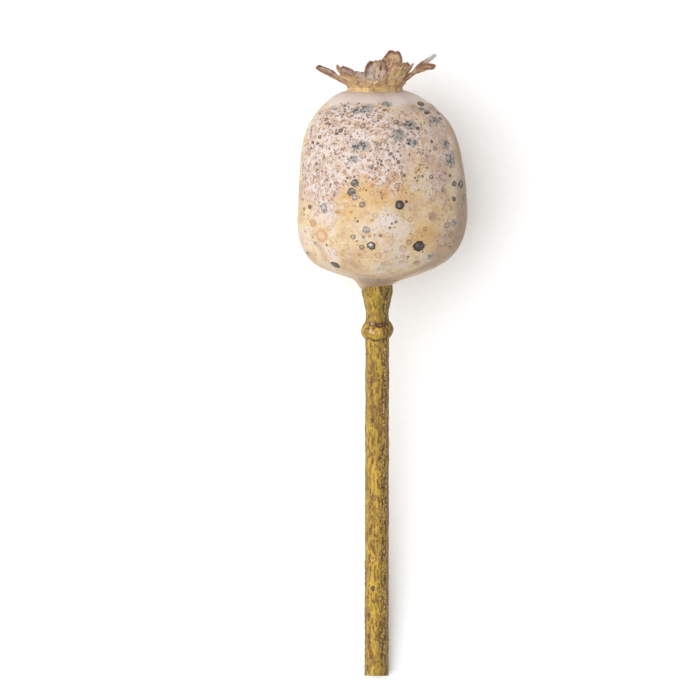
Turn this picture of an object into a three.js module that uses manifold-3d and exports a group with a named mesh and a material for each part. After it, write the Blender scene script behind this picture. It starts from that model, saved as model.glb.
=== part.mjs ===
// A dried poppy seed head lying on its side: a cut stalk with its swollen ring, the round pod on it
// with a raised net and blisters, and the crown of curled lobes on the pod. Millimetres, +Z up.
// The plant is drawn upright on its own axis, with height along Y from the cut end, X across and Z to
// the front. A tilted group then lays it down, on a small flat spot under the pod and one at the cut end.
import * as THREE from 'three';
import { mergeVertices } from 'three/addons/utils/BufferGeometryUtils.js';
import Module from 'manifold-3d';

const wasm = await Module();
wasm.setup();

// Driving dimensions
const stalkRadius = 3.17;
const stalkSides = 24;
const stalkRowStep = 3.2;
const stalkTaper = 0.0009;
const stalkRidges = 8;
const ridgeHeight = 0.12;
const cutEnd = -0.85;
const cutSlant = 0.27;
const ringHeight = 93.3;
const ringHalfLength = 2.6;
const ringProud = 1.25;
const ringSlant = 0.07;
const neckHeight = 97.7;
const neckWaist = 0.2;
const neckWaistReach = 1.6;
const neckRows = [-0.6, 0.8, 2.4, 4.2, 5.6];
const seamHeight = 104.7;
const seamSlant = 0.21;
const neckFlare = 1.05;
const gap = 0.3;

const podTop = 156.3;
const podMiddle = 130.5;
const podSides = 84;
const podRows = 50;
const carpels = 10;
const ribHeight = 0.1;
const threeSidedSwell = 0.12;
const twoSidedSwell = 0.1;
// How far the pod reaches left and right of the stalk's axis at each height above the cut end
const podOutline = [
  { height: 104.85, left: 4.2, right: 4.2 },
  { height: 106.4, left: 5.6, right: 6.2 },
  { height: 107.9, left: 9.8, right: 10.3 },
  { height: 110.6, left: 16.5, right: 16.6 },
  { height: 113.2, left: 19.3, right: 20.1 },
  { height: 117.1, left: 21.0, right: 22.6 },
  { height: 122.4, left: 21.3, right: 23.7 },
  { height: 128.1, left: 21.1, right: 23.6 },
  { height: 135.4, left: 20.7, right: 22.8 },
  { height: 143.2, left: 19.9, right: 21.1 },
  { height: 148.4, left: 17.8, right: 18.5 },
  { height: 152.3, left: 14.5, right: 14.3 },
  { height: 154.8, left: 11.5, right: 10.4 },
  { height: 156, left: 8.6, right: 7.2 },
];

const crownShift = -0.72;
const crownBase = podTop + gap;
const crownBaseRadius = 6.9;
const crownRimRadius = 8.3;
const crownRimHeight = 1.2;
const discSides = 60;
const rayHeight = 0.35;
const fluteDepth = 0.25;
const lobeThickness = 0.62;
const lobeRoot = 6.0;
const lobeRootHeight = 0.45;
// Azimuth in degrees from the right, over the back; rises in degrees at the root and at the tip;
// length, width and turned-up edges in millimetres; twist in degrees, from root to tip
const lobes = [
  { azimuth: 180, length: 10.4, rootRise: 24, tipRise: 32, width: 5.4, curl: 0.7, twist: 16 },
  { azimuth: 139, length: 8.4, rootRise: 22, tipRise: 44, width: 6.2, curl: 1.2, twist: -10 },
  { azimuth: 114, length: 4.9, rootRise: 32, tipRise: 58, width: 6.6, curl: 0.6, twist: 0 },
  { azimuth: 88, length: 8.0, rootRise: 30, tipRise: 76, width: 5.8, curl: 1.3, twist: 6 },
  { azimuth: 62, length: 10.6, rootRise: 38, tipRise: 80, width: 6.4, curl: 0.8, twist: -12 },
  { azimuth: 38, length: 8.4, rootRise: 30, tipRise: 50, width: 4.2, curl: 0.9, twist: 0 },
  { azimuth: 13, length: 12.9, rootRise: 32, tipRise: 42, width: 4.0, curl: 0.9, twist: 16 },
  { azimuth: -16, length: 11.2, rootRise: 46, tipRise: 6, width: 4.0, curl: 0.8, twist: -14 },
  { azimuth: -52, length: 8.4, rootRise: 30, tipRise: 70, width: 5.8, curl: 0.9, twist: 10 },
  { azimuth: -92, length: 6.6, rootRise: 18, tipRise: 10, width: 5.8, curl: 0.8, twist: 0 },
  { azimuth: -138, length: 7.6, rootRise: 20, tipRise: 30, width: 5.6, curl: 1.0, twist: -8 },
];

// The raised net on the skin: its meshes are jittered off a spiral, and it stands out in patches, each
// at an angle in degrees to the right of the front
const netMeshes = 236;
const netSpiral = 2.39996;
const netJitter = 1.6;
const netSeed = 3;
const netLow = 108.5;
const netHigh = 153.5;
const netWander = 0.5;
const netStrand = 2.0;
const netProud = 0.22;
const netPatches = [
  { round: -43, height: 148, reach: 7, strength: 1.0 },
  { round: -17, height: 148, reach: 7, strength: 0.9 },
  { round: -51, height: 141, reach: 6, strength: 0.9 },
  { round: -23, height: 142, reach: 6, strength: 0.9 },
  { round: -60, height: 134, reach: 5, strength: 0.7 },
  { round: -40, height: 136, reach: 5, strength: 0.7 },
  { round: 2, height: 144, reach: 6, strength: 0.5 },
  { round: -43, height: 130, reach: 5, strength: 0.6 },
  { round: 38, height: 131, reach: 5, strength: 0.5 },
  { round: 5, height: 137, reach: 5, strength: 0.4 },
  { round: 48, height: 144, reach: 5, strength: 0.45 },
  { round: 110, height: 142, reach: 6, strength: 0.6 },
  { round: 150, height: 138, reach: 7, strength: 0.8 },
  { round: 200, height: 127, reach: 6, strength: 0.7 },
  { round: 235, height: 145, reach: 7, strength: 0.9 },
  { round: -85, height: 146, reach: 6, strength: 0.8 },
];

// Blisters on the pod's skin: how far across the front, how high, and how wide, in millimetres
const blisters = [
  { across: 10.8, height: 115.5, radius: 1.5 },
  { across: 6.1, height: 126.5, radius: 1.3 },
  { across: -10.6, height: 111, radius: 1.3 },
  { across: -5.9, height: 131.9, radius: 1.3 },
  { across: -1.7, height: 115.6, radius: 1.3 },
  { across: -14.2, height: 118.6, radius: 1.7 },
  { across: 14.6, height: 128.1, radius: 1.1 },
  { across: -3.9, height: 141.4, radius: 1.3 },
  { across: 5.8, height: 144.9, radius: 1.4 },
  { across: 12.0, height: 152.3, radius: 1.2 },
  { across: 2.5, height: 152.7, radius: 1.0 },
  { across: 19.6, height: 138.7, radius: 1.2 },
];
const blisterProud = 0.22;
const backBlisters = 14;
const blisterSeed = 7;

// The pose: the tilt that the pod's girth gives, and how deep each resting spot is flattened
const layTilt = THREE.MathUtils.degToRad(8.94);
const restAlong = 121.8;
const restAcross = 0.81;
const cutEndFlat = 0.25;

const stalkBark = new THREE.MeshStandardMaterial({ color: '#a6833c', roughness: 0.85, metalness: 0 });
const podSkin = new THREE.MeshStandardMaterial({ color: '#e6ccb2', roughness: 0.6, metalness: 0 });
const crownHusk = new THREE.MeshStandardMaterial({ color: '#a87f5c', roughness: 0.8, metalness: 0 });

// Solids

function asSolid(geometry) {
  const bare = geometry.index ? geometry.clone() : geometry;
  bare.deleteAttribute('normal');
  bare.deleteAttribute('uv');
  const merged = mergeVertices(bare, 1e-4);
  return new wasm.Manifold(new wasm.Mesh({
    numProp: 3,
    vertProperties: new Float32Array(merged.attributes.position.array),
    triVerts: new Uint32Array(merged.index.array),
  }));
}

function asMesh(name, solid, material) {
  const data = solid.getMesh();
  const geometry = new THREE.BufferGeometry();
  geometry.setAttribute('position', new THREE.BufferAttribute(data.vertProperties, 3));
  geometry.setIndex(new THREE.BufferAttribute(data.triVerts, 1));
  geometry.computeVertexNormals();
  const mesh = new THREE.Mesh(geometry, material);
  mesh.name = name;
  return mesh;
}

// Moves each point of a lathed shape by a rule that is given its place and its row
function reshape(geometry, rows, rule) {
  const place = geometry.attributes.position;
  const point = new THREE.Vector3();
  for (let i = 0; i < place.count; i += 1) {
    point.fromBufferAttribute(place, i);
    rule(point, i % rows);
    place.setXYZ(i, point.x, point.y, point.z);
  }
  return geometry;
}

function seededRandom(seed) {
  let state = seed;
  return () => {
    state = (state * 16807) % 2147483647;
    return state / 2147483647;
  };
}

// The lying pose

const lying = new THREE.Group();
lying.rotation.x = layTilt;
lying.position.set(-restAcross, -restAlong, stalkRadius * Math.cos(layTilt) - cutEndFlat);
lying.updateMatrixWorld();

// What would be below the surface, in the plant's own frame
function belowSurface() {
  const block = new THREE.BoxGeometry(120, 400, 20);
  block.translate(0, 0, -10);
  block.applyMatrix4(lying.matrixWorld.clone().invert());
  return asSolid(block);
}

// The stalk: a ridged bark with a slanting cut, a swollen ring where the flower's parts sat, and a
// flared neck

function stalkRadiusAt(height) {
  const fromRing = (height - ringHeight) / ringHalfLength;
  const ring = Math.abs(fromRing) < 1 ? ringProud * Math.sqrt(1 - fromRing * fromRing) : 0;
  const waist = -neckWaist * Math.exp(-(((height - neckHeight) / neckWaistReach) ** 2));
  const flare = neckFlare * THREE.MathUtils.smoothstep(height, neckHeight, seamHeight);
  return stalkRadius - stalkTaper * height + ring + waist + flare;
}

function stalkHeights() {
  const heights = [cutEnd];
  const bodyTop = ringHeight - 1.6 * ringHalfLength;
  for (let height = 2.4; height < bodyTop; height += stalkRowStep) heights.push(height);
  for (let step = -5; step <= 5; step += 1) {
    heights.push(ringHeight + ringHalfLength * Math.sin((step / 5) * (Math.PI / 2)));
  }
  heights.push(...neckRows.map((row) => neckHeight + row), seamHeight - gap / 2);
  return heights;
}

function stalkSolid() {
  const heights = stalkHeights();
  const profile = heights.map((height) => new THREE.Vector2(stalkRadiusAt(height), height));
  profile.unshift(new THREE.Vector2(0, cutEnd));
  profile.push(new THREE.Vector2(0, heights[heights.length - 1]));
  const bark = new THREE.LatheGeometry(profile, stalkSides);
  reshape(bark, profile.length, (point) => {
    const round = Math.atan2(point.x, point.z);
    const girth = Math.hypot(point.x, point.z);
    if (girth > 1) {
      const onRing = Math.abs(point.y - ringHeight) < ringHalfLength ? 0.4 : 1;
      const wander = 0.5 * Math.sin(point.y / 9) + 0.35 * Math.sin(point.y / 4.1 + 1.3);
      const ridge = ridgeHeight * onRing * Math.cos(stalkRidges * round + wander);
      point.x *= 1 + ridge / girth;
      point.z *= 1 + ridge / girth;
    }
    const ringShare = Math.exp(-(((point.y - ringHeight) / ringHalfLength) ** 2));
    const seamShare = THREE.MathUtils.smoothstep(point.y, neckHeight, seamHeight);
    point.y += point.x * (ringSlant * ringShare + seamSlant * seamShare);
    if (point.y < 0) point.y += cutSlant * point.z;
  });
  return asSolid(bark).subtract(belowSurface());
}

// The pod: one round husk, a little fuller to the right, with a weak rib for each carpel

const podCurve = new THREE.CatmullRomCurve3(
  podOutline.map((row) => new THREE.Vector3(row.left, row.height, row.right)),
  false,
  'centripetal',
);
const podRings = podCurve.getSpacedPoints(podRows).map((row) => ({
  height: row.y,
  girth: (row.x + row.z) / 2,
  shift: (row.z - row.x) / 2,
}));

function podSolid() {
  const first = podRings[0];
  const rings = [
    { height: first.height, girth: 0, shift: first.shift },
    ...podRings,
    { height: podTop - 0.02, girth: 4, shift: crownShift },
    { height: podTop, girth: 0, shift: crownShift },
  ];
  const husk = new THREE.LatheGeometry(
    rings.map((ring) => new THREE.Vector2(ring.girth, ring.height)),
    podSides,
  );
  reshape(husk, rings.length, (point, row) => {
    const round = Math.atan2(point.x, point.z);
    const towardsEnd = (point.y - podMiddle) / (podTop - podMiddle);
    const rib = ribHeight * (1 + 0.8 * towardsEnd ** 2) * Math.cos(carpels * round);
    const swell = threeSidedSwell * Math.cos(3 * round + 0.6) + twoSidedSwell * Math.cos(2 * round - 0.4);
    const girth = rings[row].girth;
    const net = netProud * netShare(point, rings[row], round);
    const proud = THREE.MathUtils.smoothstep(girth, 5, 12) * (rib + swell + net);
    const grown = girth > 0 ? 1 + proud / girth : 1;
    point.x = point.x * grown + rings[row].shift;
    point.z *= grown;
    const seamShare = point.y < podMiddle ? 1 - THREE.MathUtils.smoothstep(girth, 4.6, 7.6) : 0;
    point.y += point.x * seamSlant * seamShare;
  });
  const spots = [...blisters.map(frontBlister), ...hiddenBlisters()];
  return spots.reduce((pod, spot) => pod.add(blisterSolid(spot)), asSolid(husk)).subtract(belowSurface());
}

// The pod's girth, its shift to the side and the slope of its outline at a height
function podRingAt(height) {
  const above = podRings.findIndex((ring) => ring.height >= height);
  const [low, high] = [podRings[above - 1], podRings[above]];
  const share = (height - low.height) / (high.height - low.height);
  return {
    girth: THREE.MathUtils.lerp(low.girth, high.girth, share),
    shift: THREE.MathUtils.lerp(low.shift, high.shift, share),
    slope: (high.girth - low.girth) / (high.height - low.height),
  };
}

// The middles of the net's meshes
const netMiddles = (() => {
  const random = seededRandom(netSeed);
  return Array.from({ length: netMeshes }, (_, i) => {
    const height = netLow + ((netHigh - netLow) * (i + 0.5)) / netMeshes + netJitter * (random() - 0.5);
    const ring = podRingAt(height);
    const round = netSpiral * i + (netJitter * (random() - 0.5)) / ring.girth;
    return new THREE.Vector3(ring.girth * Math.sin(round), height, ring.girth * Math.cos(round));
  });
})();

// How far the net stands out at a point of the pod: 1 along the middle of a strand in a strong patch
function netShare(point, ring, round) {
  const wandered = new THREE.Vector3(
    point.x + netWander * Math.sin(1.3 * point.y + 0.7 * point.z),
    point.y + netWander * Math.sin(1.1 * point.z + 0.9 * point.x),
    point.z + netWander * Math.sin(1.2 * point.x + 0.8 * point.y),
  );
  const away = netMiddles.map((middle) => middle.distanceTo(wandered)).sort((a, b) => a - b);
  const strand = Math.exp(-(((away[1] - away[0]) / netStrand) ** 2));
  const strength = netPatches.reduce((sum, patch) => {
    const turn = round - THREE.MathUtils.degToRad(patch.round);
    const across = ring.girth * Math.atan2(Math.sin(turn), Math.cos(turn));
    const miss = Math.hypot(across, point.y - patch.height) / patch.reach;
    return sum + patch.strength * Math.exp(-(miss ** 2));
  }, 0);
  return strand * Math.min(strength, 1);
}

function frontBlister({ across, height, radius }) {
  const ring = podRingAt(height);
  return { height, radius, round: Math.asin((across - ring.shift) / ring.girth) };
}

// Blisters on the side that the front view hides, spread by a seeded draw
function hiddenBlisters() {
  const random = seededRandom(blisterSeed);
  return Array.from({ length: backBlisters }, (_, i) => ({
    height: 113 + 38 * random(),
    radius: 0.9 + 0.8 * random(),
    round: Math.PI * (0.62 + (0.76 * (i + 0.2 + 0.6 * random())) / backBlisters),
  }));
}

function blisterSolid({ height, radius, round }) {
  const ring = podRingAt(height);
  const dome = new THREE.SphereGeometry(1, 9, 6);
  dome.scale(radius, blisterProud * 2, radius);
  dome.translate(0, -blisterProud, 0);
  dome.rotateX(Math.PI / 2 - Math.atan(ring.slope));
  dome.translate(0, 0, ring.girth);
  dome.rotateY(round);
  dome.translate(ring.shift, height, 0);
  return asSolid(dome);
}

// The crown: a fluted disc with a ray to each lobe, and the lobes, each one curled as it dried

function discSolid() {
  const profile = [
    [0, 0],
    [crownBaseRadius, 0],
    [crownBaseRadius + 0.5, 0.5],
    [crownRimRadius, crownRimHeight],
    [crownRimRadius - 0.2, crownRimHeight + 0.45],
    [crownRimRadius - 1.6, crownRimHeight + 0.35],
    [crownRimRadius - 3.4, crownRimHeight + 0.2],
    [2.4, crownRimHeight + 0.5],
    [0, crownRimHeight + 0.9],
  ].map(([radius, height]) => new THREE.Vector2(radius, height));
  const disc = new THREE.LatheGeometry(profile, discSides);
  reshape(disc, profile.length, (point) => {
    const round = THREE.MathUtils.radToDeg(Math.atan2(-point.z, point.x));
    const girth = Math.hypot(point.x, point.z);
    const reach = THREE.MathUtils.smoothstep(girth, 0.2, 2.4);
    if (point.y > crownRimHeight) point.y += rayHeight * reach * rayShare(round);
    const flute = girth > 5 ? fluteDepth * (rayShare(round) - 0.5) : 0;
    point.x *= 1 + flute / Math.max(girth, 1);
    point.z *= 1 + flute / Math.max(girth, 1);
  });
  return asSolid(disc);
}

// 1 along the middle of a lobe's ray, and 0 between two rays
function rayShare(round) {
  const misses = lobes.map((lobe) => Math.abs(THREE.MathUtils.euclideanModulo(
    round - lobe.azimuth + 180, 360) - 180));
  return Math.exp(-((Math.min(...misses) / 8) ** 2));
}

// The middle line of a lobe rises from its root at one slope and ends at the other
function lobePoint(lobe, u, v) {
  const steps = 12;
  let out = lobeRoot;
  let up = lobeRootHeight;
  for (let i = 0; i < steps; i += 1) {
    const rise = riseAt(lobe, (u * (i + 0.5)) / steps);
    out += (Math.cos(rise) * lobe.length * u) / steps;
    up += (Math.sin(rise) * lobe.length * u) / steps;
  }
  const rise = riseAt(lobe, u);
  const halfWidth = (lobe.width / 2) * lobeTaper(u);
  const turn = THREE.MathUtils.degToRad(lobe.twist) * u;
  const side = v * halfWidth;
  const lift = lobe.curl * v * v * lobeTaper(u) * THREE.MathUtils.smoothstep(u, 0.15, 0.6);
  const across = side * Math.cos(turn) - lift * Math.sin(turn);
  const normal = side * Math.sin(turn) + lift * Math.cos(turn);
  const local = new THREE.Vector3(
    out - normal * Math.sin(rise),
    up + normal * Math.cos(rise),
    across,
  );
  return local.applyAxisAngle(new THREE.Vector3(0, 1, 0), THREE.MathUtils.degToRad(lobe.azimuth));
}

function riseAt(lobe, u) {
  return THREE.MathUtils.degToRad(THREE.MathUtils.lerp(lobe.rootRise, lobe.tipRise, u));
}

function lobeTaper(u) {
  const shoulder = 0.78 + 0.26 * Math.sin(Math.PI * Math.min(u * 1.1, 1));
  return shoulder * (u < 0.72 ? 1 : Math.sqrt(1 - 0.8 * ((u - 0.72) / 0.28) ** 2));
}

// A blade with both faces split into triangles alike
function lobeSolid(lobe) {
  const rows = 8;
  const columns = 4;
  const places = [];
  for (const face of [0.5, -0.5]) {
    for (let i = 0; i <= rows; i += 1) {
      for (let j = 0; j <= columns; j += 1) {
        const u = i / rows;
        const v = (2 * j) / columns - 1;
        const point = lobePoint(lobe, u, v);
        const along = lobePoint(lobe, u + 0.01, v).sub(lobePoint(lobe, u - 0.01, v));
        const across = lobePoint(lobe, u, v + 0.01).sub(lobePoint(lobe, u, v - 0.01));
        const normal = across.cross(along).normalize();
        point.addScaledVector(normal, face * lobeThickness);
        places.push(point.x, point.y, point.z);
      }
    }
  }
  const perFace = (rows + 1) * (columns + 1);
  const at = (i, j, face) => face * perFace + i * (columns + 1) + j;
  const corners = [];
  const quad = (a, b, c, d) => corners.push(a, b, c, a, c, d);
  for (let i = 0; i < rows; i += 1) {
    for (let j = 0; j < columns; j += 1) {
      quad(at(i, j, 0), at(i, j + 1, 0), at(i + 1, j + 1, 0), at(i + 1, j, 0));
      corners.push(at(i, j, 1), at(i + 1, j + 1, 1), at(i, j + 1, 1));
      corners.push(at(i, j, 1), at(i + 1, j, 1), at(i + 1, j + 1, 1));
    }
    quad(at(i, 0, 1), at(i, 0, 0), at(i + 1, 0, 0), at(i + 1, 0, 1));
    quad(at(i, columns, 0), at(i, columns, 1), at(i + 1, columns, 1), at(i + 1, columns, 0));
  }
  for (let j = 0; j < columns; j += 1) {
    quad(at(0, j, 0), at(0, j, 1), at(0, j + 1, 1), at(0, j + 1, 0));
    quad(at(rows, j, 1), at(rows, j, 0), at(rows, j + 1, 0), at(rows, j + 1, 1));
  }
  const blade = new THREE.BufferGeometry();
  blade.setAttribute('position', new THREE.Float32BufferAttribute(places, 3));
  blade.setIndex(corners);
  return asSolid(blade);
}

function crownSolid() {
  return lobes.reduce((crown, lobe) => crown.add(lobeSolid(lobe)), discSolid());
}

// Assembly

lying.add(asMesh('stalk', stalkSolid(), stalkBark));
lying.add(asMesh('pod', podSolid(), podSkin));
const crown = asMesh('crown', crownSolid(), crownHusk);
crown.position.set(crownShift, crownBase, 0);
lying.add(crown);

const seedHead = new THREE.Group();
seedHead.add(lying);

export default seedHead;
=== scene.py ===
"""Dresses a dried poppy seed head that lies on a pale surface, seen from straight above."""

import math
import random
from collections import namedtuple

import bpy
import numpy as np
from mathutils import Matrix, Vector, noise
from mathutils.kdtree import KDTree


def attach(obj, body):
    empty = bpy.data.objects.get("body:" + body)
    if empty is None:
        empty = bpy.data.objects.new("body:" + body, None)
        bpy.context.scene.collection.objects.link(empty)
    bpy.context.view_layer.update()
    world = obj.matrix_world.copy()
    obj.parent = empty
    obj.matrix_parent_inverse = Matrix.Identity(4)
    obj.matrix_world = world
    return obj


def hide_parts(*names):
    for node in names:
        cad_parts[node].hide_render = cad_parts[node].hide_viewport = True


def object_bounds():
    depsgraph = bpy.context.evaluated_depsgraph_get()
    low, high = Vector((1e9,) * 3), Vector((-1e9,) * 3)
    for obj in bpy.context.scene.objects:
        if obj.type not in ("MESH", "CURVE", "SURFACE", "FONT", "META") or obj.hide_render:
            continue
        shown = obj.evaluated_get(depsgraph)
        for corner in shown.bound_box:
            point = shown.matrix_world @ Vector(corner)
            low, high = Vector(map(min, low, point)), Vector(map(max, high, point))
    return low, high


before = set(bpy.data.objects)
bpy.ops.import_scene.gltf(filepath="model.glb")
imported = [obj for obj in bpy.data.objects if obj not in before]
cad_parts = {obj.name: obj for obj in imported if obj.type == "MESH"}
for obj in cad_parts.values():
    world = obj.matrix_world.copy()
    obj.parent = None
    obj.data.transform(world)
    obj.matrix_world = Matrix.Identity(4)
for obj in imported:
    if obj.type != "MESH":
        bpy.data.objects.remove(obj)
cad_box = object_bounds()

# The plant is modelled upright in millimetres, height along Y from the cut end, X across and Z to the
# front, and then laid down in the frame's metres
MM = 0.001
LAY_TILT = math.radians(8.94)
STALK_RADIUS = 3.17
CUT_SLANT = 0.27
REST_ALONG = 121.8
REST_ACROSS = 0.81
CUT_END_FLAT = 0.25
LYING = (
    Matrix.Scale(MM, 4)
    @ Matrix.Translation((-REST_ACROSS, -REST_ALONG, STALK_RADIUS * math.cos(LAY_TILT) - CUT_END_FLAT))
    @ Matrix.Rotation(LAY_TILT, 4, "X")
)

# How much darker the surfaces are than they look, because the stage's light makes the paper pure white
STAGE_SHARE = 0.7

# Stalk
CUT_END = -0.85
RING_HEIGHT = 93.2
RING_HALF_LENGTH = 2.4
RING_PROUD = 1.32
NECK_HEIGHT = 97.7
NECK_FLARE = 1.05
SEAM_HEIGHT = 104.7
SEAM_SLANT = 0.04
STALK_SIDES = 24
STUBS = 90
BARK_TOP = 104
# Where rows of beads run up the stalk: degrees round from the front, and how sparse each row is
BEAD_ROWS = (
    (6, 0.2), (20, -0.2), (35, -0.35), (49, -0.25), (64, -0.1), (112, 0.1), (131, -0.1),
    (178, 0.1), (193, -0.2), (207, -0.1), (256, 0.05), (271, 0.0), (322, 0.3),
)
# Seeded flecks below the neck and how many of each kind, and how many of each on the neck
FLECKS = (("brown bark", 260), ("rust bark", 170), ("dark bark", 90))
NECK_FLECKS = 40
# Sides of the stalk where the bark is rough: degrees round from the front, reach and strength
ROUGH_SIDES = ((38, 24, 1.0), (122, 22, 0.7), (195, 26, 0.8), (265, 20, 0.6))

# Pod: how far it reaches left and right of the stalk's axis at each height above the cut end
POD_TOP = 156.3
POD_MIDDLE = 130.5
POD_OUTLINE = [
    (104.85, 4.2, 4.2),
    (106.4, 5.6, 6.2),
    (107.9, 9.8, 10.3),
    (110.6, 16.5, 16.6),
    (113.2, 19.3, 20.1),
    (117.1, 21.0, 22.6),
    (122.4, 21.3, 23.7),
    (128.1, 21.1, 23.6),
    (135.4, 20.7, 22.8),
    (143.2, 19.9, 21.1),
    (148.4, 17.8, 18.5),
    (152.3, 14.5, 14.3),
    (154.8, 11.5, 10.4),
    (156.0, 8.6, 7.2),
]
POD_SIDES = 52
POD_RINGS = 25
CARPELS = 10

# Crown
CROWN_SHIFT = -0.72
CROWN_BASE = POD_TOP + 0.3
CROWN_BASE_RADIUS = 6.9
CROWN_RIM_RADIUS = 8.3
CROWN_RIM_HEIGHT = 1.2
DISC_SIDES = 60
LOBE_GRID = (44, 20)
REMESH_CELL = 0.15
LOBE_ROOT = 6.0
LOBE_ROOT_HEIGHT = 0.45
LOBE_THICKNESS = 0.42
# Azimuth from the right over the back, length, rise at the root and at the tip, width, turned-up
# edges, twist: degrees and millimetres
LOBES = [
    (180, 10.4, 24, 32, 5.4, 0.7, 16),
    (139, 8.4, 22, 44, 6.2, 1.2, -10),
    (88, 8.0, 30, 76, 5.8, 1.3, 6),
    (62, 10.6, 38, 80, 6.4, 0.8, -12),
    (38, 8.4, 30, 50, 4.2, 0.9, 0),
    (13, 12.9, 32, 42, 4.0, 0.9, 16),
    (-16, 11.2, 46, 6, 4.0, 0.8, -14),
    (-52, 8.4, 30, 70, 5.8, 0.9, 10),
    (-92, 6.6, 18, 10, 5.8, 0.8, 0),
    (-138, 7.6, 20, 30, 5.6, 1.0, -8),
]
# Low webs that join neighbouring lobes, in the same terms
WEBS = [
    (114, 4.9, 32, 58, 6.6, 0.6, 0),
]
# How pale and thin, how brown at its edges, how golden, and how clear at its tip each lobe is, by azimuth
LOBE_LOOKS = {
    180: (0.7, 0.9, 0.35, 0.0),
    139: (1.0, 0.7, 0.2, 0.0),
    114: (0.9, 0.2, 0.4, 0.0),
    88: (1.0, 0.6, 0.3, 0.0),
    62: (0.1, 1.0, 0.25, 0.0),
    38: (0.1, 0.9, 0.2, 0.0),
    13: (0.1, 0.9, 0.3, 1.0),
    -16: (0.0, 1.0, 0.3, 0.0),
    -52: (0.2, 0.7, 0.6, 0.0),
    -92: (0.2, 0.15, 1.0, 0.0),
    -138: (0.5, 0.4, 0.8, 0.0),
}


def tone(code):
    """A hex sRGB colour, as it should look, as the linear colour that the bright stage needs for that"""
    parts = [int(code[i : i + 2], 16) / 255 for i in (1, 3, 5)]
    parts = [p / 12.92 if p <= 0.04045 else ((p + 0.055) / 1.055) ** 2.4 for p in parts]
    return tuple(STAGE_SHARE * p for p in parts) + (1.0,)


def smoothstep(value, low, high):
    share = np.clip((value - low) / (high - low), 0, 1)
    return share * share * (3 - 2 * share)


def lumps(points, size, octaves=2, seed=0):
    """Smooth noise of about -1 to 1 at each point, with lumps of about the given size"""
    shift = Vector((17.3 * seed, -9.1 * seed, 4.7 * seed))
    return np.array([noise.fractal(Vector(p) / size + shift, 0.8, 2.0, octaves) for p in points])


# Modelling by hand

def start_afresh():
    if bpy.context.object and bpy.context.object.mode != "OBJECT":
        bpy.ops.object.mode_set(mode="OBJECT")
    bpy.ops.object.select_all(action="DESELECT")


def drawn_up(name, rings, sides):
    """A tube drawn up from a circle, ring by ring; each ring is its height, girth and shift across"""
    start_afresh()
    height, girth, shift = rings[0]
    bpy.ops.mesh.primitive_circle_add(
        vertices=sides,
        radius=girth,
        fill_type="NGON",
        location=(shift, height, 0),
        rotation=(-math.pi / 2, 0, 0),
    )
    piece = bpy.context.object
    piece.name = name
    bpy.ops.object.transform_apply(location=True, rotation=True, scale=True)
    bpy.ops.object.mode_set(mode="EDIT")
    for before, after in zip(rings, rings[1:]):
        rise = (after[2] - before[2], after[0] - before[0], 0)
        bpy.ops.mesh.extrude_region_move(TRANSFORM_OT_translate={"value": rise})
        grow = after[1] / before[1]
        bpy.ops.transform.resize(value=(grow, 1, grow), center_override=(after[2], after[0], 0))
    bpy.ops.mesh.select_all(action="SELECT")
    bpy.ops.mesh.normals_make_consistent(inside=False)
    bpy.ops.object.mode_set(mode="OBJECT")
    return piece


def finish_with(piece, kind, **settings):
    """Puts a modifier on a piece and applies it"""
    start_afresh()
    bpy.context.view_layer.objects.active = piece
    piece.select_set(True)
    modifier = piece.modifiers.new(kind.lower(), kind)
    for key, value in settings.items():
        setattr(modifier, key, value)
    bpy.ops.object.modifier_apply(modifier=modifier.name)


def join_to(piece, others):
    start_afresh()
    for other in others:
        other.select_set(True)
    piece.select_set(True)
    bpy.context.view_layer.objects.active = piece
    bpy.ops.object.join()


def triples(items, name):
    """One vector of each of a mesh's points or faces, as the rows of an array"""
    flat = np.empty(len(items) * 3, dtype=np.float32)
    items.foreach_get(name, flat)
    return flat.reshape(-1, 3).astype(float)


def places(piece):
    return triples(piece.data.vertices, "co")


def facings(piece):
    return triples(piece.data.vertex_normals, "vector")


def tree_of(points):
    """A tree that finds the points near a place"""
    tree = KDTree(len(points))
    for i, point in enumerate(points):
        tree.insert(point, i)
    tree.balance()
    return tree


def put(piece, points):
    piece.data.vertices.foreach_set("co", points.astype(np.float32).ravel())
    piece.data.update()


def note(piece, name, values):
    """Keeps a value for each point, for the material to read"""
    layer = piece.data.attributes.new(name, "FLOAT", "POINT")
    layer.data.foreach_set("value", values.astype(np.float32))


def lay_down(piece, node):
    """Lays a finished piece down in the frame, keeps it in the whole model's box, ties it to the root body
    and hides its node's part
    """
    start_afresh()
    piece.matrix_world = LYING
    bpy.context.view_layer.objects.active = piece
    piece.select_set(True)
    bpy.ops.object.transform_apply(location=True, rotation=True, scale=True)
    low, high = (np.array(corner) for corner in cad_box)
    put(piece, np.clip(places(piece), low, high))
    bpy.ops.object.shade_smooth()
    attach(piece, "root")
    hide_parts(node)
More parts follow.
